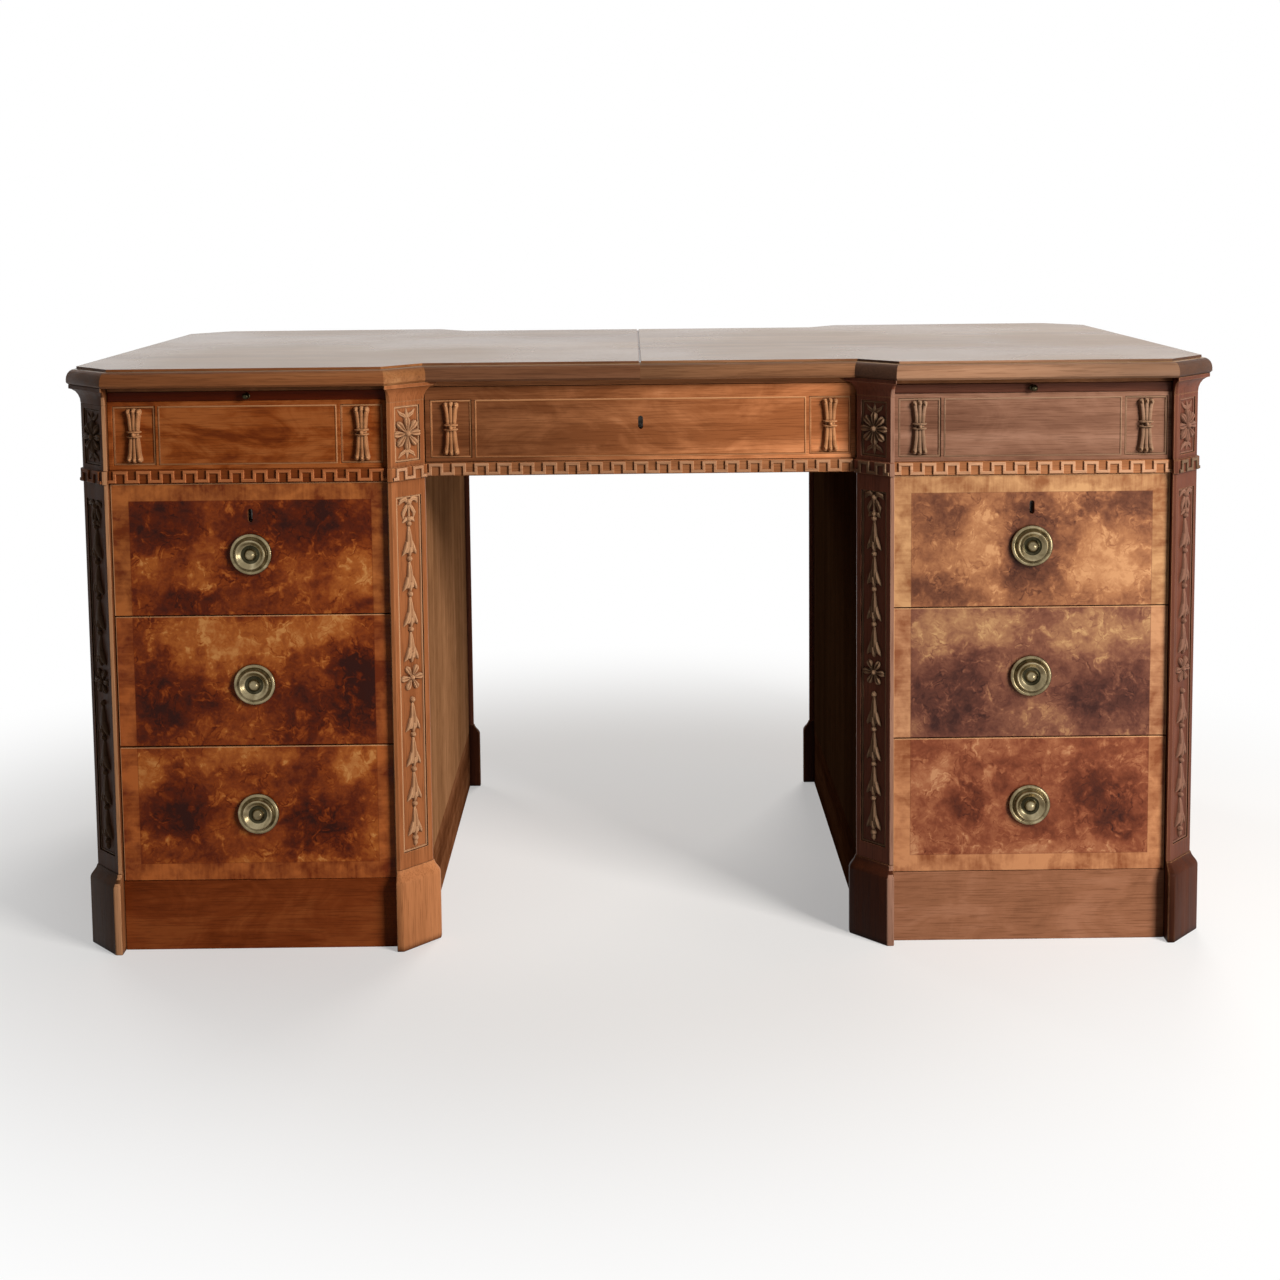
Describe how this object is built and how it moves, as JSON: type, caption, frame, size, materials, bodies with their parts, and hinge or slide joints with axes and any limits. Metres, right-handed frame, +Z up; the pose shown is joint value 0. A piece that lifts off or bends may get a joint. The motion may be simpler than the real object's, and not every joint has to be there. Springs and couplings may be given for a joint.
{
  "type": "pedestal desk",
  "caption": "Walnut kneehole pedestal desk with canted carved posts, a key-pattern frieze, burr-faced drawers with turned brass knobs, and pull-out writing slides.",
  "frame": {"origin": "on the floor, under the middle of the desk's outline", "axes": "+X to the right along the desk, +Y to the back, +Z up; the drawers face -Y"},
  "size_m": [1.524, 0.74, 0.785],
  "materials": {
    "burr_walnut": "french polished burr walnut veneer with straight-grain crossbanding",
    "carved_walnut": "polished solid walnut, carved",
    "walnut_top": "polished straight-grain walnut",
    "secondary_wood": "planed plain wood inside the carcass",
    "brass": "aged turned brass",
    "lock_metal": "plain steel"
  },
  "bodies": {
    "carcass": {"centre_drawer_runners": "secondary_wood", "centre_rails": "carved_walnut", "frieze_end_panels": "carved_walnut", "frieze_partitions": "carved_walnut", "frieze_posts": "carved_walnut", "frieze_top_rails": "carved_walnut", "key_mouldings": "carved_walnut", "left_drawer_rails": "carved_walnut", "left_drawer_runners": "secondary_wood", "left_frieze_panel": "burr_walnut", "left_pedestal_back_panel": "carved_walnut", "left_pedestal_boards": "secondary_wood", "left_pedestal_posts": "carved_walnut", "left_pedestal_side_panels": "carved_walnut", "left_plinth_blocks": "carved_walnut", "left_plinth_boards": "carved_walnut", "post_capitals": "carved_walnut", "rear_frieze_panels": "carved_walnut", "right_drawer_rails": "carved_walnut", "right_drawer_runners": "secondary_wood", "right_frieze_panel": "burr_walnut", "right_pedestal_back_panel": "carved_walnut", "right_pedestal_boards": "secondary_wood", "right_pedestal_posts": "carved_walnut", "right_pedestal_side_panels": "carved_walnut", "right_plinth_blocks": "carved_walnut", "right_plinth_boards": "carved_walnut", "slide_bearers": "secondary_wood", "top_fixing_screws": "lock_metal", "top_joint_dowels": "secondary_wood", "top_left_half": "walnut_top", "top_right_half": "walnut_top", "unit_locating_dowels": "secondary_wood"},
    "centre_drawer": {"centre_drawer_box": "secondary_wood", "centre_drawer_front": "burr_walnut", "centre_drawer_lock": "lock_metal"},
    "left_drawer_1": {"left_drawer_1_box": "secondary_wood", "left_drawer_1_front": "burr_walnut", "left_drawer_1_knob": "brass", "left_drawer_1_lock": "lock_metal"},
    "left_drawer_2": {"left_drawer_2_box": "secondary_wood", "left_drawer_2_front": "burr_walnut", "left_drawer_2_knob": "brass"},
    "left_drawer_3": {"left_drawer_3_box": "secondary_wood", "left_drawer_3_front": "burr_walnut", "left_drawer_3_knob": "brass"},
    "left_slide": {"left_slide": "carved_walnut", "left_slide_knob": "brass"},
    "right_drawer_1": {"right_drawer_1_box": "secondary_wood", "right_drawer_1_front": "burr_walnut", "right_drawer_1_knob": "brass", "right_drawer_1_lock": "lock_metal"},
    "right_drawer_2": {"right_drawer_2_box": "secondary_wood", "right_drawer_2_front": "burr_walnut", "right_drawer_2_knob": "brass"},
    "right_drawer_3": {"right_drawer_3_box": "secondary_wood", "right_drawer_3_front": "burr_walnut", "right_drawer_3_knob": "brass"},
    "right_slide": {"right_slide": "carved_walnut", "right_slide_knob": "brass"}
  },
  "joints": [
    {"name": "centre_drawer_pull", "type": "slide", "parent": "carcass", "child": "centre_drawer", "axis": [0, -1, 0], "range_m": [0, 0.4]},
    {"name": "left_drawer_1_pull", "type": "slide", "parent": "carcass", "child": "left_drawer_1", "axis": [0, -1, 0], "range_m": [0, 0.45]},
    {"name": "left_drawer_2_pull", "type": "slide", "parent": "carcass", "child": "left_drawer_2", "axis": [0, -1, 0], "range_m": [0, 0.45]},
    {"name": "left_drawer_3_pull", "type": "slide", "parent": "carcass", "child": "left_drawer_3", "axis": [0, -1, 0], "range_m": [0, 0.45]},
    {"name": "left_slide_pull", "type": "slide", "parent": "carcass", "child": "left_slide", "axis": [0, -1, 0], "range_m": [0, 0.3]},
    {"name": "right_drawer_1_pull", "type": "slide", "parent": "carcass", "child": "right_drawer_1", "axis": [0, -1, 0], "range_m": [0, 0.45]},
    {"name": "right_drawer_2_pull", "type": "slide", "parent": "carcass", "child": "right_drawer_2", "axis": [0, -1, 0], "range_m": [0, 0.45]},
    {"name": "right_drawer_3_pull", "type": "slide", "parent": "carcass", "child": "right_drawer_3", "axis": [0, -1, 0], "range_m": [0, 0.45]},
    {"name": "right_slide_pull", "type": "slide", "parent": "carcass", "child": "right_slide", "axis": [0, -1, 0], "range_m": [0, 0.3]}
  ]
}
